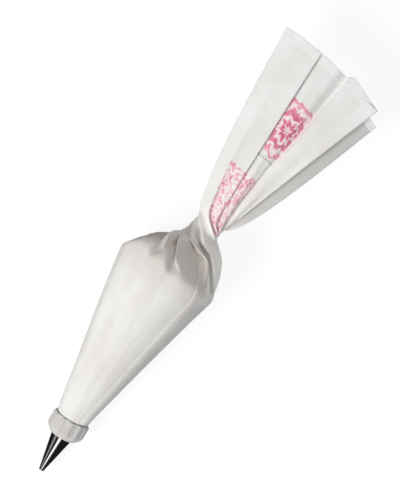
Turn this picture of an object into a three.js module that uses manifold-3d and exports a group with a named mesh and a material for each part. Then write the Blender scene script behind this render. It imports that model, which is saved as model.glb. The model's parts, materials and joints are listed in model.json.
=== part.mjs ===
// Piping bag with a two-piece coupler and a round metal tip, filled, twisted shut and laid on its side.
// Millimetres, +Z up. +X runs from the tip towards the bag's mouth, +Y to the bag's left. The bag rests on
// the plane z = 0, and the origin is the middle of its footprint on that plane.
import * as THREE from 'three';
import { mergeVertices } from 'three/addons/utils/BufferGeometryUtils.js';
import Module from 'manifold-3d';

const wasm = await Module();
wasm.setup();

const { cos, sin, tan, PI } = Math;
const deg = PI / 180;
const gap = 0.3; // clearance between pieces that touch

// ---------------------------------------------------------------- driving dimensions
// Distances along the bag's axis are counted from the tip's outlet.
const axisSlope = 7 * deg; // the nozzle end lies lower than the neck
const nozzleYaw = 2.3 * deg; // the nozzle leans a little to the right of the filled part
const nozzlePivot = { at: 56, height: 15.7 }; // where the nozzle's axis meets the bag's axis

const tip = { outletRadius: 1.6, taper: 0.2077, wall: 0.45, beadRadius: 0.65, beadAt: 32.5 };
const ring = { front: 26, back: 39.5, radius: 12, ribHeight: 0.75, ribs: 12, ribWidth: 2.6, lipRadius: 7.45 };
const thread = { pitch: 2.4, ridge: 0.65, baseRadius: 8.95, ringRadius: 9.95, turns: 1.5 };
const base = { nose: 28.8, step: 33.5, collar: 38, top: 53.7, topRadius: 12.5 };
const bag = { cut: 38.3, shoulder: 150.6, neck: 186.5, neckRadius: 10, wall: 0.6, cone: 0.2035, bow: 7 };
const neckDrift = { left: -4.7, up: -1.6 }; // the neck stands off the cone's axis
const twist = { from: 146, to: 228, turn: -180 * deg, pleats: 9, depth: 0.2 };
const tail = { reach: 133, yaw: -7.6 * deg, pitch: 4 * deg, wall: 0.8, hollowFrom: 0.16 };
const seam = { angle: 135 * deg, width: 5, thick: 0.5 };
const hem = { width: 6, thick: 0.6 };

// ---------------------------------------------------------------- materials
function finish(color, roughness, metalness = 0) {
  return new THREE.MeshStandardMaterial({ color, roughness, metalness });
}

const coatedCloth = finish(0xf1efec, 0.6);
const hemCloth = finish(0xf4f2ef, 0.7);
const whitePlastic = finish(0xe9e7e4, 0.35);
const steel = finish(0xb9bbbd, 0.12, 1);
const icing = finish(0xf7f3ea, 0.55);

// ---------------------------------------------------------------- geometry helpers
const smooth = (t) => {
  const s = Math.min(1, Math.max(0, t));
  return s * s * (3 - 2 * s);
};

const signedVolume = (position, index) => {
  const [a, b, c] = [new THREE.Vector3(), new THREE.Vector3(), new THREE.Vector3()];
  let six = 0;
  for (let i = 0; i < index.length; i += 3) {
    a.fromArray(position, 3 * index[i]);
    b.fromArray(position, 3 * index[i + 1]);
    c.fromArray(position, 3 * index[i + 2]);
    six += a.dot(b.cross(c));
  }
  return six / 6;
};

// A closed body skinned over rings of equally many points. A chain of rings gets a fan on its first and
// last ring; with closed = true the last ring joins the first instead, which makes a ring-shaped body.
function skin(rings, closed = false) {
  const n = rings[0].length;
  const points = rings.flat();
  const index = [];
  const spans = closed ? rings.length : rings.length - 1;
  for (let i = 0; i < spans; i++) {
    const [here, next] = [i * n, ((i + 1) % rings.length) * n];
    for (let j = 0; j < n; j++) {
      const k = (j + 1) % n;
      index.push(here + j, here + k, next + k, here + j, next + k, next + j);
    }
  }
  if (!closed) {
    const fans = [[rings[0], 0, 1], [rings.at(-1), (rings.length - 1) * n, -1]];
    for (const [loop, start, turn] of fans) {
      const middle = loop.reduce((sum, p) => sum.add(p), new THREE.Vector3()).divideScalar(n);
      points.push(middle);
      for (let j = 0; j < n; j++) {
        const [here, next] = [start + j, start + ((j + 1) % n)];
        if (turn > 0) index.push(points.length - 1, next, here);
        else index.push(points.length - 1, here, next);
      }
    }
  }
  const position = points.flatMap((p) => [p.x, p.y, p.z]);
  if (signedVolume(position, index) < 0) index.reverse();
  const geometry = new THREE.BufferGeometry();
  geometry.setAttribute('position', new THREE.Float32BufferAttribute(position, 3));
  geometry.setIndex(index);
  return geometry;
}

// A profile of [distance along the axis, radius] pairs turned about the local x axis. It closes on itself.
function turned(profile, segments = 32) {
  const points = [...profile, profile[0]].map(([along, radius]) => new THREE.Vector2(radius, along));
  return new THREE.LatheGeometry(points, segments).rotateZ(-PI / 2);
}

function toSolid(geometry) {
  const bare = geometry.clone();
  bare.deleteAttribute('normal');
  bare.deleteAttribute('uv');
  const merged = mergeVertices(bare, 1e-4);
  const position = merged.attributes.position.array;
  const corners = merged.index.array;
  const index = new Uint32Array(corners.filter((_, i) => {
    const [a, b, c] = corners.slice(i - (i % 3), i - (i % 3) + 3);
    return a !== b && b !== c && c !== a; // triangles on the axis of a turned body shrink to a line
  }));
  if (signedVolume(position, index) < 0) index.reverse();
  return new wasm.Manifold(new wasm.Mesh({ numProp: 3, vertProperties: position, triVerts: index }));
}

function toGeometry(solid) {
  const mesh = solid.getMesh();
  const geometry = new THREE.BufferGeometry();
  geometry.setAttribute('position', new THREE.Float32BufferAttribute(mesh.vertProperties, 3));
  geometry.setIndex(new THREE.Uint32BufferAttribute(mesh.triVerts, 1));
  return geometry;
}

const part = (name, geometry, material) => {
  const mesh = new THREE.Mesh(geometry, material);
  mesh.name = name;
  return mesh;
};

// The piecewise linear curve through [x, y] pairs.
const along = (pairs, x) => {
  const i = Math.max(1, pairs.findIndex(([x1]) => x1 >= x));
  if (x >= pairs.at(-1)[0]) return pairs.at(-1)[1];
  const [[x0, y0], [x1, y1]] = [pairs[i - 1], pairs[i]];
  return y0 + ((y1 - y0) * Math.max(0, x - x0)) / (x1 - x0);
};

// ---------------------------------------------------------------- piping tip
const tipRadius = (x) => tip.outletRadius + tip.taper * x;

function makeTip() {
  const { wall, beadRadius: bead, beadAt } = tip;
  const [outlet, end] = [tipRadius(0), tipRadius(beadAt)];
  const cone = [[0, outlet], [beadAt, end], [beadAt, end - wall], [0, outlet - wall]];
  const rim = [];
  for (let i = 0; i < 10; i++) {
    const angle = (i * 2 * PI) / 10;
    rim.push([beadAt + bead * sin(angle), tipRadius(beadAt) - wall + bead * (1 + cos(angle))]);
  }
  return toGeometry(toSolid(turned(cone, 36)).add(toSolid(turned(rim, 36))));
}

// ---------------------------------------------------------------- screw thread
class Helix extends THREE.Curve {
  constructor(start, radius, turns, phase) {
    super();
    Object.assign(this, { start, radius, turns, phase });
  }

  getPoint(t) {
    const angle = this.phase + 2 * PI * this.turns * t;
    const x = this.start + thread.pitch * this.turns * t;
    return new THREE.Vector3(x, this.radius * cos(angle), this.radius * sin(angle));
  }
}

// A round ridge that winds right-handed along the x axis.
function threadRidge(start, radius, phase) {
  const section = new THREE.Shape();
  for (let i = 0; i < 8; i++) {
    const angle = ((i + 0.5) * PI) / 4;
    const place = [thread.ridge * cos(angle), thread.ridge * sin(angle)];
    if (i === 0) section.moveTo(...place);
    else section.lineTo(...place);
  }
  section.closePath();
  const path = new Helix(start, radius, thread.turns, phase);
  return new THREE.ExtrudeGeometry(section, { steps: Math.round(24 * thread.turns), extrudePath: path });
}

// ---------------------------------------------------------------- coupler base, inside the bag
const noseRadius = (x) => tipRadius(x) - tip.wall - gap - 0.05;

function makeCouplerBase() {
  const { nose, step, collar, top, topRadius } = base;
  const core = thread.baseRadius - 0.2;
  const shell = toSolid(turned([
    [nose, noseRadius(nose)], [step, noseRadius(step)], [step, core], [collar, core],
    [collar, 9.55], [40.5, 9.75], [top - 1.6, topRadius - 0.75], [top - 1.2, topRadius], [top, topRadius],
    [top, topRadius - 1.5], [40.5, 7.6], [step, 6.7], [nose, 5.9],
  ], 36));
  const ridge = toSolid(threadRidge(step + 0.75, thread.baseRadius, 0));
  return toGeometry(shell.add(ridge));
}

// ---------------------------------------------------------------- coupler ring, outside
function makeCouplerRing() {
  const { front, back, radius, ribHeight, ribs, ribWidth, lipRadius } = ring;
  const outline = new THREE.Shape();
  const half = ribWidth / 2 / radius;
  for (let i = 0; i < ribs; i++) {
    const middle = ((i + 0.35) * 2 * PI) / ribs;
    const corners = [[-PI / ribs, 0], [-half * 1.25, 0], [-half * 0.6, 1], [half * 0.6, 1], [half * 1.25, 0]];
    for (const [turn, raised] of corners) {
      const r = radius + raised * ribHeight;
      const place = [r * cos(middle + turn), r * sin(middle + turn)];
      if (i === 0 && turn === -PI / ribs) outline.moveTo(...place);
      else outline.lineTo(...place);
    }
  }
  outline.closePath();
  const blank = new THREE.ExtrudeGeometry(outline, { depth: back - front, bevelEnabled: false });
  blank.rotateY(PI / 2).translate(front, 0, 0);
  const outer = radius + ribHeight;
  const envelope = toSolid(turned([
    [front, 0], [front, outer - 4.2], [front + 0.6, outer - 3.4], [front + 4.2, outer - 0.15],
    [front + 5, outer + 0.1], [back - 0.9, outer + 0.1], [back, outer - 0.9], [back, 0],
  ], 48));
  const bore = toSolid(turned([
    [front - 1, 0], [front - 1, lipRadius], [front + 0.3, lipRadius], [31.5, 8.65], [31.5, 9.55],
    [33.6, 9.55], [33.6, 10.15], [37.9, 10.15], [37.9, 10.95], [back + 1, 10.95], [back + 1, 0],
  ], 36));
  const ridge = toSolid(threadRidge(base.step + 0.75 - thread.pitch / 2 + 0.05, thread.ringRadius, 0));
  return toGeometry(toSolid(blank).intersect(envelope).subtract(bore).add(ridge));
}

// ---------------------------------------------------------------- the filled part of the bag
const [ahead, left] = [new THREE.Vector3(cos(axisSlope), 0, sin(axisSlope)), new THREE.Vector3(0, 1, 0)];
const up = ahead.clone().cross(left);
const nozzleAhead = ahead.clone().applyAxisAngle(up, nozzleYaw);
const nozzleLeft = left.clone().applyAxisAngle(up, nozzleYaw);
const tailLeft = new THREE.Vector3(-sin(tail.yaw), cos(tail.yaw), 0);
const tailAhead = new THREE.Vector3(cos(tail.yaw), sin(tail.yaw), 0).applyAxisAngle(tailLeft, -tail.pitch);
const tailUp = tailAhead.clone().cross(tailLeft);

// The point r from the bag's axis, x from the outlet. The angle starts at the left and goes over the top.
function around(x, r, angle) {
  const inNozzle = x < nozzlePivot.at;
  const atNeck = x > bag.neck - 1;
  const toNeck = smooth((x - bag.shoulder) / (bag.neck - bag.shoulder));
  return new THREE.Vector3(0, neckDrift.left * toNeck, nozzlePivot.height + neckDrift.up * toNeck)
    .addScaledVector(inNozzle ? nozzleAhead : ahead, x - nozzlePivot.at)
    .addScaledVector([left, nozzleLeft, tailLeft][inNozzle + 2 * atNeck], r * cos(angle))
    .addScaledVector(atNeck ? tailUp : up, r * sin(angle));
}

const coneRadius = (x) => 10.65 + bag.cone * (x - ring.back);
const bagProfile = [
  [bag.cut, coneRadius(bag.cut)], [bag.shoulder - 5, coneRadius(bag.shoulder - 5)],
  [bag.shoulder, coneRadius(bag.shoulder) - 0.3], [153.5, 32.4], [157, 30], [161, 26.8], [165, 23.8],
  [169, 20.9], [173, 18.2], [177, 15.6], [181, 13.2], [bag.neck - 0.2, bag.neckRadius],
];
const bagStations = [68, 84, 100, 118, 135, ...bagProfile.slice(1).map(([x]) => x)];

// One cross-section: a circle that the twist turns, with pleats that deepen towards the neck. Over the top
// the full shoulder bows towards the neck.
function section(x, r, count = 4 * twist.pleats) {
  const depth = twist.depth * smooth((x - bag.shoulder + 2) / 14);
  const turn = twist.turn * smooth((x - twist.from) / (twist.to - twist.from));
  const bow = bag.bow * smooth((x - 138) / 14) * smooth((186 - x) / 24);
  return Array.from({ length: count }, (_, i) => {
    const angle = ((i + 0.5) * 2 * PI) / count + turn;
    const inward = [0, 0.35, 1, 0.65][i % 4] * depth * Math.min(r, 22);
    return around(x + bow * Math.max(0, sin(angle)), r - inward, angle);
  });
}

// The space above a plane that the table presses the bag flat against.
function above(height) {
  const block = new THREE.BoxGeometry(400, 200, 100).translate(100, 0, height + 50);
  return toSolid(block);
}

function filledShape(stations, inset) {
  const extra = (x) => 1.2 * smooth((x - bag.shoulder) / 8) * (inset > bag.wall);
  const rings = stations.map((x) => section(x, along(bagProfile, x) - inset - extra(x)));
  return toSolid(skin(rings)).intersect(above(inset));
}

function makeBagBody() {
  const outside = filledShape([bag.cut, 55.9, ...bagStations], 0);
  const inside = filledShape([bag.cut - 1, 55.9, ...bagStations.filter((x) => x < 178)], bag.wall);
  return toGeometry(outside.subtract(inside));
}

// The flat-felled side seam, a raised strip that runs up the filled part.
function makeBodySeam() {
  const stations = [42, 55.9, 68, 84, 100, 118, 138];
  return skin(stations.map((x) => {
    const r = along(bagProfile, x) + gap;
    const half = seam.width / 2 / r;
    const corners = [[-half, 0], [0, 0], [half, 0], [half, seam.thick], [0, seam.thick], [-half, seam.thick]];
    return corners.map(([turn, rise]) => around(x, r + rise, seam.angle + turn));
  }));
}

// ---------------------------------------------------------------- filling
// It fills the bag up to the shoulder, the coupler base and all but the end of the tip.
function makeFilling(nozzleMatrix) {
  const body = filledShape([54.2, 55.9, ...bagStations.filter((x) => x < 160)], bag.wall + gap);
  const { nose, step, top, topRadius } = base;
  const inTip = (x) => tipRadius(x) - tip.wall - gap;
  const core = turned([
    [4, 0], [4, inTip(4)], [nose - 0.4, inTip(nose - 0.4)], [nose - 0.4, 5.55], [step, 6.35],
    [40.5, 7.25], [top + 1.5, topRadius - 1.9], [top + 1.5, 0],
  ], 24).translate(-nozzlePivot.at, 0, 0).applyMatrix4(nozzleMatrix);
  return toGeometry(body.add(toSolid(core)));
}

// ---------------------------------------------------------------- the open tail above the twist
const neckPoint = around(bag.neck - 0.2, 0, 0).addScaledVector(tailAhead, 0.4);

// Folds of the mouth as [to the left, up] from the tail's axis: over the top from left to right, and back.
const mouthFolds = [
  [43.3, -3], [17.6, 15], [-0.5, 4.5], [-34.4, 12], [-43.5, -7], [-30, -15], [-22, -8.5],
  [-12, -16], [-3, -9], [8, -16], [17, -8.5], [28, -15],
];

// The fold corners moved outwards by d, square to both neighbouring panels.
function offsetFolds(folds, d) {
  return folds.map(([x, y], i) => {
    const [x0, y0] = folds.at(i - 1);
    const [x1, y1] = folds[(i + 1) % folds.length];
    const into = new THREE.Vector2(x - x0, y - y0).normalize();
    const out = new THREE.Vector2(x1 - x, y1 - y).normalize();
    const across = new THREE.Vector2(-(into.y + out.y), into.x + out.x).normalize();
    const share = Math.max(0.45, across.dot(new THREE.Vector2(-into.y, into.x)));
    return [x + (across.x * d) / share, y + (across.y * d) / share];
  });
}

// The tail's cross-section at a share v of the way from the neck to the mouth, moved outwards by d.
function tailSection(v, d) {
  const wide = smooth(0.15 + 0.85 * v) * 0.25 + 0.75 * v;
  const folds = mouthFolds.map(([x, y], i) => {
    const angle = (i * -2 * PI) / mouthFolds.length;
    const r = bag.neckRadius - (i % 2 ? 0 : 1.5);
    return [x * wide + r * cos(-angle) * (1 - wide), y * wide + r * sin(-angle) * (1 - wide)];
  });
  return offsetFolds(folds, d).map(([x, y]) => {
    const reach = Math.sqrt((tail.reach * v) ** 2 - (x ** 2 + y ** 2) * v * v);
    return neckPoint.clone()
      .addScaledVector(tailAhead, reach)
      .addScaledVector(tailLeft, x)
      .addScaledVector(tailUp, y);
  });
}

function makeTail() {
  const stations = [0, 0.06, 0.14, 0.25, 0.4, 0.6, 0.8, 1];
  const outside = stations.map((v) => tailSection(v, 0));
  const inside = stations.filter((v) => v >= tail.hollowFrom).map((v) => tailSection(v, tail.wall));
  return skin([...inside, ...outside.reverse()]);
}

function makeHem() {
  const from = 1 - hem.width / tail.reach;
  const shares = [from, 1];
  const inner = shares.map((v) => tailSection(v, -gap));
  const outer = shares.map((v) => tailSection(v, -gap - hem.thick));
  return skin([...inner, ...outer.reverse()], true);
}

// The side seam again, where the twist has brought it under the tail's left edge.
function makeTailSeam() {
  const panel = mouthFolds.length - 1;
  const across = (d, v, share) => {
    const corners = tailSection(v, d);
    return corners[panel].clone().lerp(corners[0], share);
  };
  const stations = [0.3, 0.5, 0.7, 0.94];
  return skin(stations.map((v) => {
    const half = seam.width / 2 / across(0, v, 0).distanceTo(across(0, v, 1));
    const [near, far] = [-gap, -gap - seam.thick];
    return [[near, 0.5 - half], [near, 0.5 + half], [far, 0.5 + half], [far, 0.5 - half]]
      .map(([d, share]) => across(d, v, share));
  }));
}

// ---------------------------------------------------------------- assembly
const nozzle = new THREE.Group();
nozzle.position.set(0, 0, nozzlePivot.height);
nozzle.rotation.set(0, -axisSlope, nozzleYaw, 'YZX');
nozzle.updateMatrix();
nozzle.add(part('piping_tip', makeTip(), steel));
nozzle.add(part('coupler_ring', makeCouplerRing(), whitePlastic));
nozzle.add(part('coupler_base', makeCouplerBase(), whitePlastic));
for (const piece of nozzle.children) piece.geometry.translate(-nozzlePivot.at, 0, 0);

const model = new THREE.Group();
model.add(nozzle);
model.add(part('bag_body', makeBagBody(), coatedCloth));
model.add(part('body_seam', makeBodySeam(), coatedCloth));
model.add(part('icing_filling', makeFilling(nozzle.matrix), icing));
model.add(part('bag_tail', makeTail(), coatedCloth));
model.add(part('tail_seam', makeTailSeam(), coatedCloth));
model.add(part('mouth_hem', makeHem(), hemCloth));

// The origin goes to the middle of the footprint.
model.updateMatrixWorld(true);
const footprint = new THREE.Box3().setFromObject(model, true).getCenter(new THREE.Vector3());
model.position.set(-footprint.x, -footprint.y, 0);

export default model;
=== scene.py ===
import json
import math
import bpy
import numpy as np
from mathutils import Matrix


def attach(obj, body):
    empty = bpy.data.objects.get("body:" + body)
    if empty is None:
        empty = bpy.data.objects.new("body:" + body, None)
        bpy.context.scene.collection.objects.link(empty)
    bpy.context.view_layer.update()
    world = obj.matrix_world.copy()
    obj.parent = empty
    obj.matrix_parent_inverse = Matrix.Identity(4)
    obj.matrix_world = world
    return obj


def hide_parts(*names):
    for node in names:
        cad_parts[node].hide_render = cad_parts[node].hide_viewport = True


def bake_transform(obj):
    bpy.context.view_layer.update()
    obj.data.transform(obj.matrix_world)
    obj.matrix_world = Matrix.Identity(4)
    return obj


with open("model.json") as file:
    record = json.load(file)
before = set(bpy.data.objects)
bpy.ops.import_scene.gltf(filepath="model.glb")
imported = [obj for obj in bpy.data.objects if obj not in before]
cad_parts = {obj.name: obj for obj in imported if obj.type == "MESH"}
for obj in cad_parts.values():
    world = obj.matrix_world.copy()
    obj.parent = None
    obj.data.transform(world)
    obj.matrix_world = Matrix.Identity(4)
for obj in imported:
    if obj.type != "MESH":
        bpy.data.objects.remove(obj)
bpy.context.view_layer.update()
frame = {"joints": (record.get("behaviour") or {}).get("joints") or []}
scene = bpy.context.scene
joints = {joint["name"]: joint for joint in frame["joints"]}
print("frame loaded")

# The camera looks straight down, turned so that the bag lies diagonally with its tip at the lower left.
cameraView = {"target": (0.0139, 0.0067, 0.030), "height": 1.25, "tall": 0.3138, "roll": -56.6}
cameraData = bpy.data.cameras.new("camera")
cameraData.sensor_fit = "VERTICAL"
cameraData.sensor_height = 36
cameraData.lens = 36 * cameraView["height"] / cameraView["tall"]
cameraObject = bpy.data.objects.new("camera", cameraData)
scene.collection.objects.link(cameraObject)
x, y, z = cameraView["target"]
cameraObject.location = (x, y, z + cameraView["height"])
cameraObject.rotation_euler = (0, 0, math.radians(cameraView["roll"]))
scene.camera = cameraObject
scene.view_settings.view_transform = "Standard"
print("camera placed")


def toLinear(hexColour):
    # sRGB hex to linear: the low end is a straight line, the rest a 2.4 power
    parts = np.array([int(hexColour[i:i + 2], 16) / 255 for i in (1, 3, 5)])
    linear = np.where(parts <= 0.04045, parts / 12.92, ((parts + 0.055) / 1.055) ** 2.4)
    return (*linear.tolist(), 1.0)


def addNode(tree, kind, inputs=None, **settings):
    # one node, its settings, and for each input either a value or the socket that feeds it
    node = tree.nodes.new("ShaderNode" + kind)
    for name, value in settings.items():
        setattr(node, name, value)
    for key, value in (inputs or {}).items():
        if isinstance(value, bpy.types.NodeSocket):
            tree.links.new(value, node.inputs[key])
        else:
            node.inputs[key].default_value = value
    return node


def maths(tree, operation, *values):
    # one sum, product, comparison or other step between numbers
    return addNode(tree, "Math", dict(enumerate(values)), operation=operation).outputs[0]


def tinted(tree, share, under, over):
    # the under colour multiplied by the over colour, by the given share
    return addNode(tree, "MixRGB", {0: share, 1: under, 2: over}, blend_type="MULTIPLY").outputs[0]


def within(tree, value, low, high):
    # 1 between the two limits, 0 outside them
    return maths(tree, "COMPARE", value, (low + high) / 2, (high - low) / 2)


def newMaterial(name):
    material = bpy.data.materials.new(name)
    material.use_nodes = True
    tree = material.node_tree
    tree.nodes.clear()
    output = addNode(tree, "OutputMaterial")
    shader = addNode(tree, "BsdfPrincipled")
    tree.links.new(shader.outputs[0], output.inputs[0])
    return material, tree, shader


def setRamp(node, stops):
    # stops are (place from 0 to 1, sRGB hex)
    elements = node.color_ramp.elements
    while len(elements) < len(stops):
        elements.new(0.5)
    for element, (place, colour) in zip(elements, stops):
        element.position = place
        element.color = toLinear(colour)
    return node.outputs["Color"]


def smoothStep(t):
    # 0 below 0, 1 above 1, and 3t^2 - 2t^3 between
    t = np.clip(t, 0, 1)
    return t * t * (3 - 2 * t)


def gridMesh(name, points, uv=None, wrapColumns=True, wrapRows=False, capEnds=False):
    # points is rows x columns x 3 in mm; each cell of the grid becomes one quad
    rows, columns = points.shape[:2]
    index = np.arange(rows * columns).reshape(rows, columns)
    lower = index if wrapRows else index[:-1]
    upper = np.roll(index, -1, 0) if wrapRows else index[1:]
    lowerNext, upperNext = np.roll(lower, -1, 1), np.roll(upper, -1, 1)
    if not wrapColumns:
        lower, upper, lowerNext, upperNext = (a[:, :-1] for a in (lower, upper, lowerNext, upperNext))
    quads = np.stack([lower, lowerNext, upperNext, upper], -1).reshape(-1, 4)
    if capEnds:
        # a pole at each end: a fan of quads that shut the small last ring
        ring = np.arange(columns)
        half = columns // 2
        there, back = ring[:half], ring[columns - 1:half - 1:-1]
        first = np.stack([there[:-1], back[:-1], back[1:], there[1:]], -1)
        quads = np.concatenate([quads, first, first[:, ::-1] + (rows - 1) * columns])
    item = quadMesh(name, points, quads)
    if uv is not None:
        # the last column meets the first again, so its cells take the pattern's full width
        wide, tall = uv[:, :, 0], uv[:, :, 1]
        right = np.roll(wide, -1, 1)
        if wrapColumns:
            right[:, -1] = 2 * wide[:, -1] - wide[:, -2]
        cut = slice(None) if wrapColumns else slice(0, -1)
        near, far = slice(0, -1), slice(1, None)
        corners = [(wide[near, cut], tall[near, cut]), (right[near, cut], tall[near, cut]),
                   (right[far, cut], tall[far, cut]), (wide[far, cut], tall[far, cut])]
        flat = np.stack([np.stack(corner, -1) for corner in corners], 2)
        item.data.uv_layers.new(name="flatPattern").data.foreach_set("uv", flat.astype(np.float32).ravel())
    return item


def quadMesh(name, points, quads):
    mesh = bpy.data.meshes.new(name)
    mesh.vertices.add(points.size // 3)
    mesh.vertices.foreach_set("co", (points.reshape(-1, 3) * 0.001).astype(np.float32).ravel())
    mesh.loops.add(quads.size)
    mesh.loops.foreach_set("vertex_index", quads.ravel().astype(np.int32))
    mesh.polygons.add(len(quads))
    mesh.polygons.foreach_set("loop_start", np.arange(0, quads.size, 4, dtype=np.int32))
    mesh.polygons.foreach_set("loop_total", np.full(len(quads), 4, np.int32))
    mesh.update(calc_edges=True)
    mesh.polygons.foreach_set("use_smooth", np.full(len(quads), True))
    item = bpy.data.objects.new(name, mesh)
    scene.collection.objects.link(item)
    return item


def unit(vectors):
    return vectors / np.maximum(np.linalg.norm(vectors, axis=-1, keepdims=True), 1e-9)


def surfaceNormals(points):
    # the cross product of the steps along the columns and along the rows, at unit length
    across = np.roll(points, -1, 1) - np.roll(points, 1, 1)
    return unit(np.cross(across, np.gradient(points, axis=0)))


def softNoise(rows, columns, rowWidth, columnWidth, seed):
    # random values blurred by a bell curve of the given widths in cells, scaled to a spread of one
    field = np.random.default_rng(seed).standard_normal((rows, columns))
    alongRows = np.fft.fftfreq(rows)[:, None] * rowWidth
    alongColumns = np.fft.fftfreq(columns)[None, :] * columnWidth
    blurred = np.real(np.fft.ifft2(np.fft.fft2(field) * np.exp(-20 * (alongRows ** 2 + alongColumns ** 2))))
    return (blurred - blurred.mean()) / blurred.std()


def blurColumns(points, passes):
    # each point moves to a quarter, half, quarter mix with its neighbours round the loop
    for _ in range(passes):
        points = 0.25 * np.roll(points, 1, 1) + 0.5 * points + 0.25 * np.roll(points, -1, 1)
    return points


def blurRows(points, passes):
    for _ in range(passes):
        inner = 0.25 * points[:-2] + 0.5 * points[1:-1] + 0.25 * points[2:]
        points = np.concatenate([points[:1], inner, points[-1:]])
    return points


# The bag is one sewn cone of cloth: filled, gathered at the shoulder, twisted half a turn and left open.
# Distances along it are in mm from the tip's outlet.
bagCloth = {
    "rows": {"body": 34, "crown": 92, "tail": 66},
    "columns": 320,
    "thickness": 0.45,
    "ringRadius": 10.8, "ringBack": 39.5, "slope": 0.2035, "start": 38.2,
    "shoulder": 150.6, "neck": 186.5, "tailStart": 194.0, "reach": 133.0,
    "loosePleat": 204, "turnFrom": 178, "turnTo": 198,
    "flat": (0.414, 0.314), "area": 0.0756,
}
mouthAt = bagCloth["neck"] + bagCloth["reach"]

# Each fold: its angle in degrees from the left over the top on the filled body, at the foot of the neck
# and in the neck, how deep it is gathered from 0 on the outside to 1 inside, where it comes out at the
# mouth in mm (to the left of the tail's axis, up from it, and ahead of the neck), and how it spreads from
# the neck: 1 is straight, less is early.
folds = np.array([
    (178, 178, 178, -0.20, 44.3, -2.0, 129.2, 0.74),    # the tail's left edge
    (200, 215, 255, -0.20, 33.0, 3.5, 130.5, 0.74),     # the broad strip round the neck ends here
    (204, 214, 252, 0.35, 30.8, 4.0, 130.5, 0.74),      # a pleat that opens out soon after the neck
    (224, 240, 284, 0.00, 15.6, 7.0, 130.8, 0.95),      # first crest that lies over the next panel
    (234, 250, 292, 0.35, 29.0, 1.5, 128.4, 1.25),
    (246, 265, 315, 0.00, 13.0, 5.0, 131.0, 1.00),
    (254, 279, 333, 0.20, 1.2, 4.9, 130.2, 1.00),
    (258, 285, 342, 0.70, -5.8, -2.8, 129.6, 1.00),     # open valley between the second and third panels
    (266, 292, 348, 0.00, -8.2, 2.6, 133.0, 1.00),
    (290, 312, 360, 0.00, -34.4, 2.4, 126.2, 1.00),     # second crest that lies over the next panel
    (303, 322, 366, 1.00, -9.0, 0.0, 128.0, 0.80),
    (325, 342, 376, 0.00, -40.4, -9.0, 118.2, 0.56),    # the tail's right edge
    (342, 356, 383, 0.90, -15.0, -10.5, 124.0, 0.62),
    (368, 372, 389, 0.00, -30.0, -13.0, 122.0, 0.66),
    (388, 390, 395, 0.60, -6.0, -10.5, 128.0, 0.74),
    (408, 410, 402, 0.00, -24.0, -7.2, 124.0, 0.70),
    (429, 432, 409, 0.80, 14.0, -10.0, 128.0, 0.74),
    (442, 446, 416, 0.10, 24.0, -12.5, 128.0, 0.74),
    (456, 460, 422, 1.00, -9.0, -5.0, 128.0, 0.74),
    (469, 464, 428, 0.00, 10.0, -4.5, 128.5, 0.74),
    (497, 524, 434, 0.55, 22.0, -4.5, 131.0, 0.74),
    (502, 527, 440, 0.00, 27.0, -4.0, 130.5, 0.74),
    (512, 530, 462, 0.32, 32.0, -3.5, 130.0, 0.74),
    (521, 533, 490, 0.10, 36.0, -3.0, 130.0, 0.74),
    (533, 537, 522, 1.00, 41.0, -2.6, 129.5, 0.74),
])
bodyAngle, collarAngle, neckAngle, foldDepth = folds[:, 0], folds[:, 1], folds[:, 2], folds[:, 3]
foldMouth, foldAhead, fanPower = folds[:, 4:6], folds[:, 6], folds[:, 7]

nozzleAhead = -np.array(joints["ring_turn"]["axis"])
tailAhead = np.array(joints["tail_twist"]["axis"])
bodyAhead = np.array([math.cos(math.radians(7)), 0, math.sin(math.radians(7))])
nozzlePivot = np.array(joints["ring_turn"]["pos_m"]) * 1000
neckPoint = np.array(joints["tail_twist"]["pos_m"]) * 1000
nozzlePivotAt = 56.0
neckDrift = np.array([0, -4.7, -1.6])


def crossAxes(ahead):
    # left and up for a direction: left is level and square to it, up is square to both
    left = unit(np.array([-ahead[1], ahead[0], 0]))
    return left, np.cross(ahead, left)


def crossFrames(at):
    # the middle, left and up of the cross-section at each distance from the tip's outlet
    at = np.asarray(at, float)
    toNeck = smoothStep((at - bagCloth["shoulder"]) / (bagCloth["neck"] - bagCloth["shoulder"]))[:, None]
    body = nozzlePivot + (at - nozzlePivotAt)[:, None] * bodyAhead + toNeck * neckDrift
    nozzle = nozzlePivot + (at - nozzlePivotAt)[:, None] * nozzleAhead
    tail = neckPoint + (at - bagCloth["neck"] - 0.2)[:, None] * tailAhead
    inNozzle = smoothStep((60 - at) / 8)[:, None]
    inTail = smoothStep((at - 183) / 7)[:, None]
    middle = body + (nozzle - body) * (at < nozzlePivotAt)[:, None]
    middle = middle + (tail - middle) * inTail
    sides = []
    for k in (0, 1):
        bodySide, nozzleSide, tailSide = (crossAxes(a)[k] for a in (bodyAhead, nozzleAhead, tailAhead))
        side = bodySide + (nozzleSide - bodySide) * inNozzle
        sides.append(side + (tailSide - side) * inTail)
    return middle, sides[0], sides[1]


def outsideRadius(at, angle):
    # the cone up to the shoulder, then the outline of the gathered crown, which is fuller on its right
    cone = bagCloth["ringRadius"] + bagCloth["slope"] * (at - bagCloth["ringBack"])
    onLeft = np.interp(at, [150.6, 153, 159, 164, 168.6, 173, 177.7, 182, 190],
                       [33.2, 32.1, 28.4, 25.3, 21.7, 15.8, 10.4, 9.7, 10.0])
    onRight = np.interp(at, [150.6, 153, 159.3, 167, 175, 180, 185.7, 190],
                        [33.2, 32.9, 30.4, 25.8, 20.4, 15.8, 10.9, 10.0])
    crown = onLeft + (onRight - onLeft) * (0.5 - 0.5 * np.cos(angle))
    return np.where(at < bagCloth["shoulder"], np.minimum(cone, 33.2), crown)


def insideRadius(at):
    # how far in the deepest folds reach
    return np.interp(at, [40, 147, 152, 156, 161, 168, 175, 182, 196, 320],
                     [99, 99, 31.0, 27.0, 21.0, 13.5, 8.0, 4.5, 3.5, 3.5])


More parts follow.
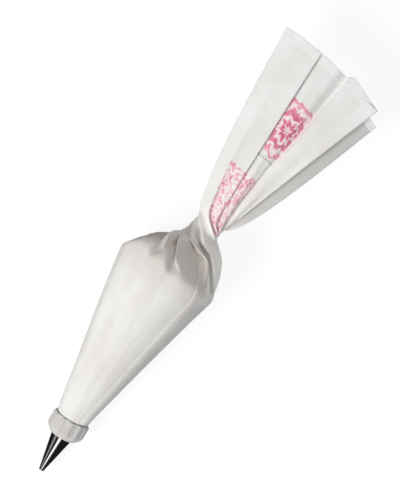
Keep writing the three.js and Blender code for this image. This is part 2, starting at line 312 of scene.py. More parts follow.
def twistAngle(at):
    # the half turn, in radians, that the neck has been given
    return np.radians(np.interp(at, [146, 156, 165, 175, 180, 184, 189, 194, 200],
                                [0, -8, -30, -46, -72, -84, -126, -174, -180]))


def foldColumns(columns):
    # shares the columns among the panels between folds by their mean width on the body and at the mouth
    bodyWidth = np.radians(np.diff(np.append(bodyAngle, bodyAngle[0] + 360))) * 33
    mouthWidth = np.linalg.norm(np.roll(foldMouth, -1, 0) - foldMouth, axis=1)
    width = 0.5 * bodyWidth + 0.5 * mouthWidth
    edges = np.concatenate([[0], np.cumsum(width)])
    place = np.interp((np.arange(columns) + 0.5) / columns * edges[-1], edges, np.arange(len(folds) + 1))
    return place, edges


def betweenFolds(values, place):
    # straight from fold to fold, and round to the first again
    low = np.floor(place).astype(int)
    share = (place - low).reshape(1, -1, *([1] * (values.ndim - 2)))
    low = low % len(folds)
    return values[:, low] * (1 - share) + values[:, (low + 1) % len(folds)] * share


def shoulderBow(angle):
    # how far the full shoulder bulges towards the neck at each angle, with a dent where each fold starts
    degrees = np.degrees(angle) % 360
    return np.interp(degrees, [0, 20, 45, 56, 64, 73, 82, 91, 100, 128, 165, 180, 360],
                     [0, 3.0, 10.5, 11.5, 6.5, 9.5, 9.0, 4.5, 5.5, 4.5, 1.0, 0, 0])


def bagSurface(at, place):
    # Circles on the filled body, then polygons through the folds, which the twist turns and which fan out
    # from the neck to the mouth.
    middle, left, up = crossFrames(at)
    at = at[:, None]
    twist = twistAngle(at)
    turned = bodyAngle + (collarAngle - bodyAngle) * smoothStep((at - 150) / 18)
    turned = turned + (neckAngle - collarAngle) * smoothStep((at - 169) / 14)
    foldAngle = np.radians(turned) + twist
    outside = outsideRadius(at, foldAngle)
    opening = np.where(bodyAngle == bagCloth["loosePleat"], smoothStep((at - bagCloth["tailStart"]) / 38), 0)
    reach = outside - foldDepth * (1 - opening) * (outside - np.minimum(insideRadius(at), outside))
    section = np.stack([reach * np.cos(foldAngle), reach * np.sin(foldAngle)], -1)
    onward = np.clip((at - bagCloth["tailStart"]) / (mouthAt - bagCloth["tailStart"]), 0, 1)
    fan = (onward ** fanPower)[..., None]
    section = betweenFolds(section * (1 - fan) + foldMouth * fan, place)
    along = np.maximum(at - bagCloth["neck"], 0)
    further = betweenFolds(along * onward * (foldAhead / bagCloth["reach"] - 1), place)
    turns = np.append(bodyAngle, bodyAngle[0] + 360)
    angle = np.radians(np.interp(place, np.arange(len(turns)), turns)) + twist
    outside = outsideRadius(at, angle)
    circle = np.stack([outside * np.cos(angle), outside * np.sin(angle)], -1)
    folded = smoothStep((at - 149) / 9)[..., None]
    section = circle * (1 - folded) + section * folded
    further = further + shoulderBow(angle) * smoothStep((at - 138) / 14) * smoothStep((186 - at) / 24)
    ahead = np.cross(left, up)
    return (middle[:, None] + section[..., :1] * left[:, None] + section[..., 1:] * up[:, None]
            + further[..., None] * ahead[:, None])


bagAt = np.concatenate([
    np.linspace(bagCloth["start"], 140, bagCloth["rows"]["body"], endpoint=False),
    np.linspace(140, 206, bagCloth["rows"]["crown"], endpoint=False),
    np.linspace(206, mouthAt, bagCloth["rows"]["tail"]),
])
place, foldEdges = foldColumns(bagCloth["columns"])
bagPoints = blurRows(blurColumns(bagSurface(bagAt, place), 3), 2)
print("bag surface worked out", bagPoints.shape)

# soft unevenness of cloth drawn over a thick filling, and long pulls from the twist
rows, columns = bagPoints.shape[:2]
atRow = bagAt[:, None]
uneven = softNoise(rows, columns, 9, 22, 3) * 0.22 + softNoise(rows, columns, 22, 5, 5) * 0.12
pulls = softNoise(rows, columns, 40, 5, 8)
onBody = smoothStep((atRow - 44) / 20) * smoothStep((156 - atRow) / 14)
onTail = smoothStep((atRow - 196) / 20)
nearShoulder = smoothStep((atRow - 128) / 24) * smoothStep((160 - atRow) / 10)
lift = onBody * uneven + (nearShoulder * 0.35 + onTail * 0.4) * pulls
bagPoints = bagPoints + surfaceNormals(bagPoints) * lift[..., None]
# the table presses the cloth flat: heights below a millimetre ease into a level patch
bagPoints[..., 2] = 0.12 + 0.5 * (bagPoints[..., 2] + np.sqrt(bagPoints[..., 2] ** 2 + 0.5))
bagNormals = surfaceNormals(bagPoints)
flatWide = np.interp(place, np.arange(len(foldEdges)), foldEdges)
flatUv = np.stack(np.broadcast_arrays(flatWide[None, :], atRow), -1)
bagObject = gridMesh("bagCloth", bagPoints, flatUv)
thicken = bagObject.modifiers.new("cloth thickness", "SOLIDIFY")
thicken.thickness = bagCloth["thickness"] * 0.001
thicken.offset = -1
print("bag cloth made")


def onBag(at, column):
    # a point of the bag's surface and its normal, between the four nearest grid points
    row = np.clip(np.interp(at, bagAt, np.arange(rows)), 0, rows - 1.001)
    low, side = np.floor(row).astype(int), np.floor(column).astype(int)
    upShare, sideShare = (row - low)[..., None], (column - side)[..., None]
    first, second = side % columns, (side + 1) % columns
    found = []
    for grid in (bagPoints, bagNormals):
        near = grid[low, first] * (1 - sideShare) + grid[low, second] * sideShare
        far = grid[low + 1, first] * (1 - sideShare) + grid[low + 1, second] * sideShare
        found.append(near * (1 - upShare) + far * upShare)
    return found[0], unit(found[1])


def stitchesAlong(path, normals, pitch, length, radius):
    # stitches a pitch apart along a line on the cloth, each a short thread sunk to half its height
    steps = np.linalg.norm(np.diff(path, axis=0), axis=1)
    measured = np.concatenate([[0], np.cumsum(steps)])
    centres = np.arange(pitch, measured[-1] - pitch, pitch)

    def follow(values, place):
        return np.stack([np.interp(place, measured, values[:, k]) for k in range(3)], -1)

    middle, normal = follow(path, centres), unit(follow(normals, centres))
    ahead = unit(follow(path, centres + length / 2) - follow(path, centres - length / 2))
    side = unit(np.cross(normal, ahead))
    share = np.array([-1, -0.75, 0, 0.75, 1])
    swell = np.array([0.35, 0.85, 1, 0.85, 0.35]) * radius
    turn = np.arange(6) * math.pi / 3
    spine = middle[:, None, None] + ahead[:, None, None] * (share * length / 2)[None, :, None, None]
    ringShape = (side[:, None, None] * np.cos(turn)[None, None, :, None]
              + normal[:, None, None] * np.sin(turn)[None, None, :, None])
    arch = normal[:, None, None] * (0.25 * radius * (1 - share ** 2))[None, :, None, None]
    return spine + arch + ringShape * swell[None, :, None, None]


def stitchMesh(name, stitches):
    # every stitch is five rings of six points, closed at both ends by two quads
    ring = np.arange(6)
    grid = np.arange(30).reshape(5, 6)
    beside = np.roll(grid, -1, 1)
    sides = np.stack([grid[:-1], grid[1:], beside[1:], beside[:-1]], -1).reshape(-1, 4)
    ends = np.array([(0, 1, 2, 3), (3, 4, 5, 0), (27, 26, 25, 24), (24, 29, 28, 27)])
    one = np.concatenate([sides, ends])
    quads = (one[None] + 30 * np.arange(len(stitches))[:, None, None]).reshape(-1, 4)
    return quadMesh(name, stitches, quads)


# The side seam is flat-felled: the cut edges are folded into each other and sewn down twice.
sideSeam = {"angle": 496.5, "width": 4.6, "height": 0.32, "from": 41.0, "stitchRows": 1.35, "pitch": 3.4,
            "stitch": 2.3, "thread": 0.17}
seamPlace = np.interp(sideSeam["angle"], np.append(bodyAngle, bodyAngle[0] + 360), np.arange(len(folds) + 1))
seamColumn = np.interp(seamPlace, np.arange(len(foldEdges)), foldEdges) / foldEdges[-1] * columns - 0.5
seamAt = bagAt[(bagAt > sideSeam["from"]) & (bagAt < mouthAt - 3)]
besideSeam = int(seamColumn)
columnStep = np.linalg.norm(bagPoints[:, besideSeam + 2] - bagPoints[:, besideSeam - 2], axis=1) / 4
columnStep = np.interp(seamAt, bagAt, columnStep)


def alongSeam(offset, height):
    # lines a fixed number of mm to the side of the seam's middle and above the cloth
    column = seamColumn + offset[None, :] / columnStep[:, None]
    points, normals = onBag(np.broadcast_to(seamAt[:, None], column.shape), column)
    return points + normals * height[None, :, None], normals


across = np.linspace(-0.5, 0.5, 17) * sideSeam["width"]
edgeShare = np.abs(across) / (sideSeam["width"] / 2)
seamHeight = sideSeam["height"] * (1 - edgeShare ** 4) + 0.04
seamHeight -= 0.12 * np.exp(-((np.abs(across) - sideSeam["stitchRows"]) / 0.3) ** 2)
seamPoints, _ = alongSeam(across, seamHeight)
seamWide = np.interp(seamPlace, np.arange(len(foldEdges)), foldEdges)
seamUv = np.stack(np.broadcast_arrays(across[None, :] + seamWide, seamAt[:, None]), -1)
seamObject = gridMesh("sideSeam", seamPoints, seamUv, wrapColumns=False)
thickenSeam = seamObject.modifiers.new("folded edge", "SOLIDIFY")
thickenSeam.thickness = 0.00035
thickenSeam.offset = -1
seamStitches = []
threadHeight = np.array([sideSeam["height"] - 0.15])
for side in (-1, 1):
    line, lineNormals = alongSeam(np.array([side * sideSeam["stitchRows"]]), threadHeight)
    seamStitches.append(stitchesAlong(line[:, 0], lineNormals[:, 0], sideSeam["pitch"], sideSeam["stitch"],
                                      sideSeam["thread"]))
seamThread = stitchMesh("seamThread", np.concatenate(seamStitches))
print("side seam made")

# The mouth is hemmed: the edge is folded over once and sewn down.
mouthHem = {"width": 5.5, "rise": 0.13, "stitchFromEdge": 4.4, "pitch": 3.4, "stitch": 2.3, "thread": 0.14}


def hemLoop():
    # the outline round the cloth's edge: along the outside to the mouth, over it, and back inside
    width, rise, cloth = mouthHem["width"], mouthHem["rise"], bagCloth["thickness"]
    out = rise * np.array([0.1, 0.85, 1, 1, 1, 1, 1, 0.95])
    back = np.array([width, width - 0.25, width - 0.9, 3.6, 2.4, 1.4, 0.6, 0.15])
    turn = np.radians([60, 20, -20, -60])
    half = (cloth + 2 * rise) / 2
    lip = np.stack([-np.cos(turn) * half, (rise - half) + np.sin(turn) * half], -1)
    return np.concatenate([np.stack([back, out], -1), lip,
                           np.stack([back, -cloth - out], -1)[::-1]])


hemProfile = hemLoop()
hemAt = np.minimum(mouthAt - hemProfile[:, :1], mouthAt - 0.02) * np.ones(columns)
hemPoints, hemNormals = onBag(hemAt, np.broadcast_to(np.arange(columns, dtype=float), hemAt.shape))
endStep = unit(bagPoints[-1] - bagPoints[-4])
pastEdge = np.maximum(-hemProfile[:, 0], 0)[:, None, None]
hemPoints = hemPoints + hemNormals * hemProfile[:, 1][:, None, None] + endStep[None] * pastEdge
hemObject = gridMesh("mouthHem", hemPoints, wrapRows=True)
stitchAt = np.full(columns + 1, mouthAt - mouthHem["stitchFromEdge"])
hemLine, hemLineNormals = onBag(stitchAt, np.arange(columns + 1.0))
hemLine = hemLine + hemLineNormals * (mouthHem["rise"] - 0.02)
hemStitches = stitchesAlong(hemLine, hemLineNormals, mouthHem["pitch"], mouthHem["stitch"], mouthHem["thread"])
hemThread = stitchMesh("hemThread", hemStitches)
print("mouth hem made")


# Buttercream that fills the bag from the shoulder down through the coupler to just inside the outlet
filling = {"clear": 1.0, "domeAt": 149.0, "dome": 6.0, "columns": 96,
           "bore": [(2.0, 0.01), (2.4, 0.9), (4.0, 1.6), (28.4, 5.5), (33.5, 6.3), (40.5, 7.2), (53.0, 10.2)]}


def fillingSurface():
    # circles that follow the bores of tip and coupler, then the bag's cone, then a quarter-ellipse dome
    bore = np.array(filling["bore"])
    boreAt = np.concatenate([bore[:2, 0], np.linspace(bore[2, 0], bore[-1, 0], 30)])
    coneAt = np.linspace(57, filling["domeAt"], 40)
    lift = np.linspace(0, math.pi / 2, 14)[1:]
    at = np.concatenate([boreAt, coneAt, filling["domeAt"] + filling["dome"] * np.sin(lift)])
    cone = bagCloth["ringRadius"] + bagCloth["slope"] * (coneAt - bagCloth["ringBack"])
    cone = cone - bagCloth["thickness"] - filling["clear"]
    dome = np.maximum(cone[-1] * np.cos(lift), 0.01)
    radius = np.concatenate([np.interp(boreAt, bore[:, 0], bore[:, 1]), cone, dome])
    turn = np.linspace(0, 2 * math.pi, filling["columns"], endpoint=False)
    middle, left, up = crossFrames(at)
    points = (middle[:, None] + radius[:, None, None] * (np.cos(turn)[None, :, None] * left[:, None]
                                                         + np.sin(turn)[None, :, None] * up[:, None]))
    points[..., 2] = np.maximum(points[..., 2], 1.3)
    return points


fillingObject = gridMesh("icingFilling", fillingSurface(), capEnds=True)
print("filling made")


def roundedProfile(corners, radius, steps=5):
    # a closed outline with eased corners: each is a curve between two edge points, pulled to the corner
    corners = np.array(corners, float)
    before, after = np.roll(corners, 1, 0) - corners, np.roll(corners, -1, 0) - corners
    lengths = np.minimum(np.linalg.norm(before, axis=1), np.linalg.norm(after, axis=1))
    ease = np.minimum(radius, 0.45 * lengths)[:, None]
    start, end = corners + unit(before) * ease, corners + unit(after) * ease
    t = np.linspace(0, 1, steps)[None, :, None]
    eased = (1 - t) ** 2 * start[:, None] + 2 * t * (1 - t) * corners[:, None] + t ** 2 * end[:, None]
    return eased.reshape(-1, 2)


def turnedPoints(profile, angles, radiusAt=None):
    # carries (distance, radius) pairs round the nozzle's axis; radiusAt may change the radius by angle
    left, up = crossAxes(nozzleAhead)
    radius = np.broadcast_to(profile[:, 1:], (len(profile), len(angles)))
    if radiusAt is not None:
        radius = radiusAt(radius, profile[:, :1], angles[None, :])
    middle = nozzlePivot + (profile[:, :1] - nozzlePivotAt) * nozzleAhead
    side = np.cos(angles)[:, None] * left + np.sin(angles)[:, None] * up
    return middle[:, None] + radius[..., None] * side[None]


# Seamless round tip, drawn from one piece of sheet, its back edge rolled outwards.
pipingTip = {"outlet": 1.6, "taper": 0.2077, "wall": 0.45, "bead": 0.65, "beadAt": 32.5, "columns": 128}


def tipProfile():
    # the cone's outside, the rolled bead, and the cone's inside
    outlet, taper, wall = pipingTip["outlet"], pipingTip["taper"], pipingTip["wall"]
    bead, beadAt = pipingTip["bead"], pipingTip["beadAt"]
    at = np.concatenate([[0.06, 0.16, 0.4], np.linspace(1, beadAt - bead - 0.1, 30)])
    outside = np.stack([at, outlet + taper * at], -1)
    turn = np.radians(np.linspace(205, -80, 16))
    beadFoot = outlet + taper * beadAt - wall
    rolled = np.stack([beadAt + bead * np.cos(turn), beadFoot + bead * (1 + np.sin(turn))], -1)
    inside = np.stack([at[::-1], outlet + taper * at[::-1] - wall], -1)
    rim = np.array([(0.0, outlet - wall + 0.12), (-0.02, outlet - wall / 2), (0.0, outlet - 0.1)])
    return np.concatenate([outside, rolled, inside, rim])


fullTurn = np.linspace(0, 2 * math.pi, pipingTip["columns"], endpoint=False)
tipObject = gridMesh("roundTip", turnedPoints(tipProfile(), fullTurn), wrapRows=True)

# Screw ring of the coupler, moulded with grip ribs round it and a sloping front.
couplerRing = {"front": 26.0, "back": 39.5, "radius": 12.0, "ribs": 12, "ribHeight": 0.7, "ribWidth": 2.6,
               "ribTurn": 10.5, "columns": 288}


def ringProfile():
    # outside from the front lip to the back edge, then the stepped bore back to the lip
    front, back = couplerRing["front"], couplerRing["back"]
    top = couplerRing["radius"] + couplerRing["ribHeight"]
    corners = [
        (front, 7.5), (front, top - 4.2), (front + 0.7, top - 3.4), (front + 2.4, top - 1.7),
        (front + 4.3, top - 0.15), (front + 5.2, top), (front + 9, top), (back - 0.8, top), (back, top - 0.8),
        (back, 10.98), (37.95, 10.95), (37.9, 10.2), (33.65, 10.15), (33.6, 9.6), (31.5, 9.55), (31.45, 8.65),
        (front + 0.35, 7.5),
    ]
    return roundedProfile(corners, 0.45)


def ribbed(radius, at, angles):
    # between ribs the wall is lower; each rib has a flat top and eased flanks
    spacing = 2 * math.pi / couplerRing["ribs"]
    fromRib = np.abs((angles - math.radians(couplerRing["ribTurn"]) + spacing / 2) % spacing - spacing / 2)
    half = couplerRing["ribWidth"] / 2 / couplerRing["radius"]
    raised = smoothStep((1.5 * half - fromRib) / (0.9 * half))
    wall = couplerRing["radius"] + couplerRing["ribHeight"] * raised
    return np.where(radius > 11.2, np.minimum(radius, wall), radius)


ringTurn = np.linspace(0, 2 * math.pi, couplerRing["columns"], endpoint=False)
ringObject = gridMesh("screwRing", turnedPoints(ringProfile(), ringTurn, ribbed), wrapRows=True)
print("tip and ring made")

# Polyester, woven fine and sealed with a soft film: white, smooth and faintly glossy. Parts of it are toned
# darker, as shade between the folds that the lights alone don't give. The real weave is about 0.3 mm and is
# drawn three times as coarse.
printArea = {"panel": (5, 7), "rosetteAt": 268, "rosetteRadius": 20, "blotsAt": (189, 231),
             "dashesAt": 245.5}
weavePeriod = 0.9
coatedPolyester, tree, shader = newMaterial("coatedPolyester")
uvNode = addNode(tree, "UVMap", uv_map="flatPattern")
flatPlace = uvNode.outputs[0]
split = addNode(tree, "SeparateXYZ", {0: flatPlace})
wideMm, tallMm = split.outputs[0], split.outputs[1]
tallShare = maths(tree, "DIVIDE", tallMm, mouthAt)
# painted shade in both tones: the crown darker on its facets, the filled body darker along its sides; the tail
# is whitest
crownShadeTone = setRamp(addNode(tree, "ValToRGB", {0: tallShare}), [
    (0.10, "#E6E5E3"), (0.44, "#E6E5E2"), (0.477, "#DAD4D0"), (0.55, "#D6D0CB"), (0.60, "#F1F1EF"),
    (1.0, "#F3F3F2")])
sideShadeTone = setRamp(addNode(tree, "ValToRGB", {0: tallShare}), [
    (0.10, "#DFDEDC"), (0.30, "#D6D5D4"), (0.45, "#D6D5D4"), (0.50, "#F1F1EE"), (0.60, "#F3F2EF"),
    (0.80, "#F3F3F1"), (1.0, "#F3F4F3")])
# painted shade: the gathered crown, between two of the folds, takes the darker crown tone, the rest the side
# tone
shadeFrom, shadeTo = foldEdges[11], foldEdges[21]
inCrown = addNode(tree, "MapRange", {"Value": wideMm, "From Min": shadeFrom, "From Max": shadeFrom + 8})
outCrown = addNode(tree, "MapRange", {"Value": wideMm, "From Min": shadeTo - 1, "From Max": shadeTo,
                                      "To Min": 1.0, "To Max": 0.0})
crownShare = maths(tree, "MULTIPLY", inCrown.outputs[0], outCrown.outputs[0])
clothColour = addNode(tree, "MixRGB", {0: crownShare, 1: sideShadeTone, 2: crownShadeTone}).outputs[0]
# painted shade: a darker band where the cloth folds in over the edge of the filling
bandFrom, bandTo = foldEdges[11] - 6, foldEdges[16]
bandWide = within(tree, wideMm, bandFrom, bandTo)
bandShadeTone = setRamp(addNode(tree, "ValToRGB", {0: tallShare}), [
    (0.482, "#FFFFFF"), (0.50, "#CFCBC9"), (0.535, "#CFCBC9"), (0.57, "#FFFFFF")])
clothColour = tinted(tree, bandWide, clothColour, bandShadeTone)
# painted shade also beside the seam, down to the next fold
besideFrom, besideTo = foldEdges[21] - 1, foldEdges[22]
besideWide = within(tree, wideMm, besideFrom, besideTo)
besideShadeTone = setRamp(addNode(tree, "ValToRGB", {0: tallShare}), [
    (0.462, "#FFFFFF"), (0.495, "#DDD6D1"), (0.525, "#DDD6D1"), (0.55, "#FFFFFF")])
clothColour = tinted(tree, besideWide, clothColour, besideShadeTone)
# the undermost panel of the tail lies in the shade of the others
underWide = within(tree, wideMm, foldEdges[10], foldEdges[11])
underTall = setRamp(addNode(tree, "ValToRGB", {0: tallShare}), [(0.58, "#FFFFFF"), (0.66, "#E0DFDF")])
clothColour = tinted(tree, underWide, clothColour, underTall)
# faint patches all over, as in any coated cloth that has been used
mottlePlace = addNode(tree, "Mapping", {"Vector": flatPlace, "Scale": (0.045, 0.03, 1)})
mottled = addNode(tree, "TexNoise", {"Vector": mottlePlace.outputs[0], "Scale": 1.0, "Detail": 3.0})
mottleTone = setRamp(addNode(tree, "ValToRGB", {0: mottled.outputs[0]}), [(0.3, "#F4F1EE"), (0.7, "#FFFFFF")])
clothColour = tinted(tree, 1.0, clothColour, mottleTone)

# Screen-printed ornament in one ink: a made-up rosette, a dashed line and a band of blots
lowFold, highFold = printArea["panel"]
rosetteWide = foldEdges[lowFold] + 0.3 * (foldEdges[highFold] - foldEdges[lowFold])
fromWide = maths(tree, "SUBTRACT", wideMm, rosetteWide)
fromTall = maths(tree, "SUBTRACT", tallMm, printArea["rosetteAt"])
wideSquare = maths(tree, "MULTIPLY", fromWide, fromWide)
bothSquare = maths(tree, "MULTIPLY_ADD", fromTall, fromTall, wideSquare)
fromCentre = maths(tree, "POWER", bothSquare, 0.5)
around = maths(tree, "ARCTAN2", fromTall, fromWide)
scallopTurn = maths(tree, "MULTIPLY", around, 16.0)
scallop = maths(tree, "COSINE", scallopTurn)
edgeAt = maths(tree, "MULTIPLY_ADD", scallop, 1.1, printArea["rosetteRadius"])
inRosette = maths(tree, "LESS_THAN", fromCentre, edgeAt)
petalTurn = maths(tree, "MULTIPLY", around, 9.0)
petal = maths(tree, "SINE", petalTurn)
leafPlace = addNode(tree, "Mapping", {"Vector": flatPlace, "Scale": (0.16, 0.16, 1)})
leaves = addNode(tree, "TexNoise", {"Vector": leafPlace.outputs[0], "Scale": 1.0, "Detail": 2.0,
                                    "Distortion": 1.5})
petalPhase = maths(tree, "MULTIPLY_ADD", leaves.outputs[0], 9.0, petal)
ringPhase = maths(tree, "MULTIPLY_ADD", fromCentre, 0.85, petalPhase)
ringWave = maths(tree, "SINE", ringPhase)
ringShare = maths(tree, "MULTIPLY_ADD", ringWave, 0.5, 0.5)
faded = addNode(tree, "MapRange", {"Value": fromCentre, "From Min": 10.0, "From Max": 15.0, "To Min": 1.0,
                                   "To Max": 0.55})
inkShare = maths(tree, "MULTIPLY", ringShare, faded.outputs[0])
rosetteInk = setRamp(addNode(tree, "ValToRGB", {0: inkShare}), [
    (0.0, "#FAF0F2"), (0.22, "#F7CDD8"), (0.42, "#F2A9BD"), (0.72, "#E78CA7"), (1.0, "#D4668A")])

blotPlace = addNode(tree, "Mapping", {"Vector": flatPlace, "Scale": (0.20, 0.26, 1), "Rotation": (0, 0, 0.6)})
blots = addNode(tree, "TexNoise", {"Vector": blotPlace.outputs[0], "Scale": 1.0, "Detail": 3.0,
                                   "Distortion": 1.8})
blotInk = setRamp(addNode(tree, "ValToRGB", {0: blots.outputs[0]}), [
    (0.42, "#F5F1EF"), (0.50, "#F8DCE2"), (0.57, "#F2B3C3"), (0.66, "#E58DA5"), (0.76, "#CF6C8A")])
blotsFrom, blotsTo = printArea["blotsAt"]
inBlots = within(tree, tallMm, blotsFrom, blotsTo)
blotLeft, blotRight = foldEdges[1], foldEdges[highFold]
inBlotPanels = within(tree, wideMm, blotLeft, blotRight)
blotMask = maths(tree, "MULTIPLY", inBlots, inBlotPanels)
panelLeft, panelRight = foldEdges[3], foldEdges[highFold]
inPanel = within(tree, wideMm, panelLeft, panelRight)
rosetteMask = maths(tree, "MULTIPLY", inRosette, inPanel)
dashPhase = maths(tree, "MULTIPLY", wideMm, 2.2)
dashWave = maths(tree, "SINE", dashPhase)
dashOn = maths(tree, "GREATER_THAN", dashWave, -0.3)
dashLine = maths(tree, "COMPARE", tallMm, printArea["dashesAt"], 0.6)
dashPart = maths(tree, "MULTIPLY", dashOn, dashLine)
dashMask = maths(tree, "MULTIPLY", dashPart, inPanel)
clothColour = addNode(tree, "MixRGB", {0: rosetteMask, 1: clothColour, 2: rosetteInk}).outputs[0]
clothColour = addNode(tree, "MixRGB", {0: blotMask, 1: clothColour, 2: blotInk}).outputs[0]
clothColour = addNode(tree, "MixRGB", {0: dashMask, 1: clothColour, 2: toLinear("#B9B7B4")}).outputs[0]
tree.links.new(clothColour, shader.inputs["Base Color"])

filmPatches = addNode(tree, "TexNoise", {"Vector": mottlePlace.outputs[0], "Scale": 4.0, "Detail": 2.0})
filmRoughness = addNode(tree, "MapRange", {"Value": filmPatches.outputs[0], "To Min": 0.38, "To Max": 0.54})
tree.links.new(filmRoughness.outputs[0], shader.inputs["Roughness"])
# a wave repeats every 0.314 units of its own scale
warp = addNode(tree, "TexWave", {"Vector": flatPlace, "Scale": 0.314 / weavePeriod}, bands_direction="X")
weft = addNode(tree, "TexWave", {"Vector": flatPlace, "Scale": 0.314 / weavePeriod}, bands_direction="Y")
weave = maths(tree, "MULTIPLY", warp.outputs[1], weft.outputs[1])
creasePlace = addNode(tree, "Mapping", {"Vector": flatPlace, "Scale": (0.16, 0.022, 1),
                                        "Rotation": (0, 0, 0.06)})
creases = addNode(tree, "TexNoise", {"Vector": creasePlace.outputs[0], "Scale": 1.0, "Detail": 4.0,
                                     "Roughness": 0.55})
creaseBump = addNode(tree, "Bump", {"Height": creases.outputs[0], "Strength": 0.5, "Distance": 0.0012})
weaveBump = addNode(tree, "Bump", {"Height": weave, "Strength": 0.35, "Distance": 0.00008,
                                   "Normal": creaseBump.outputs[0]})
tree.links.new(weaveBump.outputs[0], shader.inputs["Normal"])
shader.inputs["Sheen Weight"].default_value = 0.15
shader.inputs["Sheen Roughness"].default_value = 0.4
shader.inputs["IOR"].default_value = 1.47

# The hem is the same cloth doubled over, so it is a little whiter and its film a little rougher.
hemCloth, tree, shader = newMaterial("foldedPolyester")
objectPlace = addNode(tree, "TexCoord").outputs["Object"]
hemPatches = addNode(tree, "TexNoise", {"Vector": objectPlace, "Scale": 90.0, "Detail": 3.0})
hemTone = setRamp(addNode(tree, "ValToRGB", {0: hemPatches.outputs[0]}), [(0.3, "#EDECEA"), (0.7, "#F7F7F5")])
tree.links.new(hemTone, shader.inputs["Base Color"])
hemWarp = addNode(tree, "TexWave", {"Vector": objectPlace, "Scale": 314 / weavePeriod}, bands_direction="X")
hemWeft = addNode(tree, "TexWave", {"Vector": objectPlace, "Scale": 314 / weavePeriod}, bands_direction="Y")
hemWeave = maths(tree, "MULTIPLY", hemWarp.outputs[1], hemWeft.outputs[1])
hemBump = addNode(tree, "Bump", {"Height": hemWeave, "Strength": 0.35, "Distance": 0.00008})
tree.links.new(hemBump.outputs[0], shader.inputs["Normal"])
shader.inputs["Roughness"].default_value = 0.55

# Polyester sewing thread, twisted from two strands: white with a soft shine.
sewingThread, tree, shader = newMaterial("sewingThread")
objectPlace = addNode(tree, "TexCoord").outputs["Object"]
strands = addNode(tree, "TexWave", {"Vector": objectPlace, "Scale": 700.0, "Distortion": 1.0},
                  bands_direction="DIAGONAL")
strandTone = setRamp(addNode(tree, "ValToRGB", {0: strands.outputs[1]}), [(0.2, "#DAD8D4"), (0.8, "#F3F2EF")])
tree.links.new(strandTone, shader.inputs["Base Color"])
strandBump = addNode(tree, "Bump", {"Height": strands.outputs[1], "Strength": 0.4, "Distance": 0.00005})
tree.links.new(strandBump.outputs[0], shader.inputs["Normal"])
shader.inputs["Roughness"].default_value = 0.5

# Polypropylene, injection moulded: milky white, waxy, with the mould's very fine grain.
mouldedPlastic, tree, shader = newMaterial("mouldedPolypropylene")
objectPlace = addNode(tree, "TexCoord").outputs["Object"]
flow = addNode(tree, "TexNoise", {"Vector": objectPlace, "Scale": 120.0, "Detail": 3.0})
flowTone = setRamp(addNode(tree, "ValToRGB", {0: flow.outputs[0]}), [(0.3, "#C2BFBD"), (0.7, "#CECCCA")])
tree.links.new(flowTone, shader.inputs["Base Color"])
grain = addNode(tree, "TexNoise", {"Vector": objectPlace, "Scale": 1400.0, "Detail": 2.0})
grainBump = addNode(tree, "Bump", {"Height": grain.outputs[0], "Strength": 0.25, "Distance": 0.00006})
tree.links.new(grainBump.outputs[0], shader.inputs["Normal"])
shader.inputs["Roughness"].default_value = 0.34
shader.inputs["IOR"].default_value = 1.49
shader.inputs["Subsurface Weight"].default_value = 0.12
shader.inputs["Subsurface Radius"].default_value = (0.002, 0.002, 0.002)
shader.inputs["Subsurface Scale"].default_value = 1.0

# Stainless steel, drawn and polished: bright, with faint rings left by the polishing wheel.
polishedSteel, tree, shader = newMaterial("polishedStainlessSteel")
objectPlace = addNode(tree, "TexCoord").outputs["Object"]
axisTurn = (0, math.radians(7), math.radians(-2.3))
toAxis = addNode(tree, "Mapping", {"Vector": objectPlace, "Rotation": axisTurn})
ringsLeft = addNode(tree, "TexWave", {"Vector": toAxis.outputs[0], "Scale": 900.0, "Distortion": 1.5,
                                      "Detail": 2.0}, bands_direction="X")
steelRoughness = addNode(tree, "MapRange", {"Value": ringsLeft.outputs[1], "To Min": 0.07, "To Max": 0.13})
tree.links.new(steelRoughness.outputs[0], shader.inputs["Roughness"])
steelBump = addNode(tree, "Bump", {"Height": ringsLeft.outputs[1], "Strength": 0.12, "Distance": 0.00002})
tree.links.new(steelBump.outputs[0], shader.inputs["Normal"])
shader.inputs["Base Color"].default_value = toLinear("#D2D1CF")
shader.inputs["Metallic"].default_value = 1.0

# Buttercream: pale, dense and slightly greasy.
buttercream, tree, shader = newMaterial("buttercream")
objectPlace = addNode(tree, "TexCoord").outputs["Object"]
creamy = addNode(tree, "TexNoise", {"Vector": objectPlace, "Scale": 60.0, "Detail": 4.0})
creamTone = setRamp(addNode(tree, "ValToRGB", {0: creamy.outputs[0]}), [(0.3, "#F3ECDD"), (0.7, "#FBF6EC")])
tree.links.new(creamTone, shader.inputs["Base Color"])
creamBump = addNode(tree, "Bump", {"Height": creamy.outputs[0], "Strength": 0.4, "Distance": 0.001})
tree.links.new(creamBump.outputs[0], shader.inputs["Normal"])
shader.inputs["Roughness"].default_value = 0.42
shader.inputs["IOR"].default_value = 1.46
print("materials made")

for item, material in ((bagObject, coatedPolyester), (seamObject, coatedPolyester), (hemObject, hemCloth),
                       (seamThread, sewingThread), (hemThread, sewingThread), (tipObject, polishedSteel),
                       (ringObject, mouldedPlastic), (fillingObject, buttercream)):
    item.data.materials.append(material)
couplerBase = bpy.data.objects["coupler_base"]
if not couplerBase.material_slots:
    couplerBase.data.materials.append(mouldedPlastic)
couplerBase.material_slots[0].material = mouldedPlastic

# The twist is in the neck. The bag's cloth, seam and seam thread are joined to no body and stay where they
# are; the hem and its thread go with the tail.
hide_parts("bag_body", "bag_tail")
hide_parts("body_seam", "tail_seam")
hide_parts("mouth_hem")
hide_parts("piping_tip")
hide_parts("coupler_ring")
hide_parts("icing_filling")
for item in (bagObject, seamObject, seamThread):
    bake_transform(item)
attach(hemObject, "tail")
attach(hemThread, "tail")
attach(tipObject, "tip")
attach(ringObject, "ring")
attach(fillingObject, "bag")
print("pieces joined to their bodies")

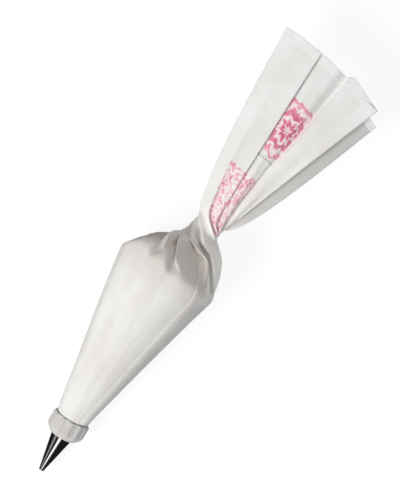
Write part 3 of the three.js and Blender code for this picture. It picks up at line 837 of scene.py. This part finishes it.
# White sweep, lit from within as a light table is, so that the shadow on it stays faint
floorMaterial, tree, shader = newMaterial("paleSweep")
shader.inputs["Base Color"].default_value = toLinear("#6E6E6E")
shader.inputs["Emission Color"].default_value = (1, 1, 1, 1)
shader.inputs["Emission Strength"].default_value = 0.86
shader.inputs["Roughness"].default_value = 0.9
floorMesh = bpy.data.meshes.new("floor")
floorMesh.from_pydata([(-6, -6, 0), (6, -6, 0), (6, 6, 0), (-6, 6, 0)], [], [(0, 1, 2, 3)])
floor = bpy.data.objects.new("floor", floorMesh)
scene.collection.objects.link(floor)
floorMesh.materials.append(floorMaterial)
floor.visible_glossy = False


def addLight(name, location, size, power, target=(0, 0, 0.03)):
    data = bpy.data.lights.new(name, "AREA")
    data.size = size
    data.energy = power
    item = bpy.data.objects.new(name, data)
    scene.collection.objects.link(item)
    aim = np.array(target) - np.array(location)
    item.location = location
    item.rotation_euler = (math.atan2(math.hypot(aim[0], aim[1]), -aim[2]), 0, math.atan2(-aim[0], aim[1]))
    return item


keyLight = addLight("keyLight", (-0.85, 0.44, 1.00), 0.5, 15.5)
keyLight.visible_glossy = False
fillLight = addLight("fillLight", (1.00, -0.25, 0.65), 0.8, 2.9)
fillLight.visible_glossy = False

# The room: even and white for the eye and for soft light, with a long lamp and a dim one in reflections
world = bpy.data.worlds.new("studio")
scene.world = world
world.use_nodes = True
tree = world.node_tree
direction = addNode(tree, "SeparateXYZ", {0: addNode(tree, "TexCoord").outputs["Generated"]})
overhead = maths(tree, "ARCTAN2", direction.outputs[1], direction.outputs[2])
longLamp = maths(tree, "COMPARE", overhead, -0.09, 0.30)
sideLamp = maths(tree, "COMPARE", overhead, 1.10, 0.28)
dimLamp = maths(tree, "MULTIPLY_ADD", sideLamp, 0.35, 0.015)
reflected = maths(tree, "MULTIPLY_ADD", longLamp, 1.5, dimLamp)
rays = addNode(tree, "LightPath")
ambient = addNode(tree, "Mix", {0: rays.outputs["Is Glossy Ray"], 2: 0.30, 3: reflected}).outputs[0]
strength = addNode(tree, "Mix", {0: rays.outputs["Is Camera Ray"], 2: ambient, 3: 0.97}).outputs[0]
background = tree.nodes["Background"]
background.inputs[0].default_value = (1, 1, 1, 1)
tree.links.new(strength, background.inputs[1])
print("stage lit")
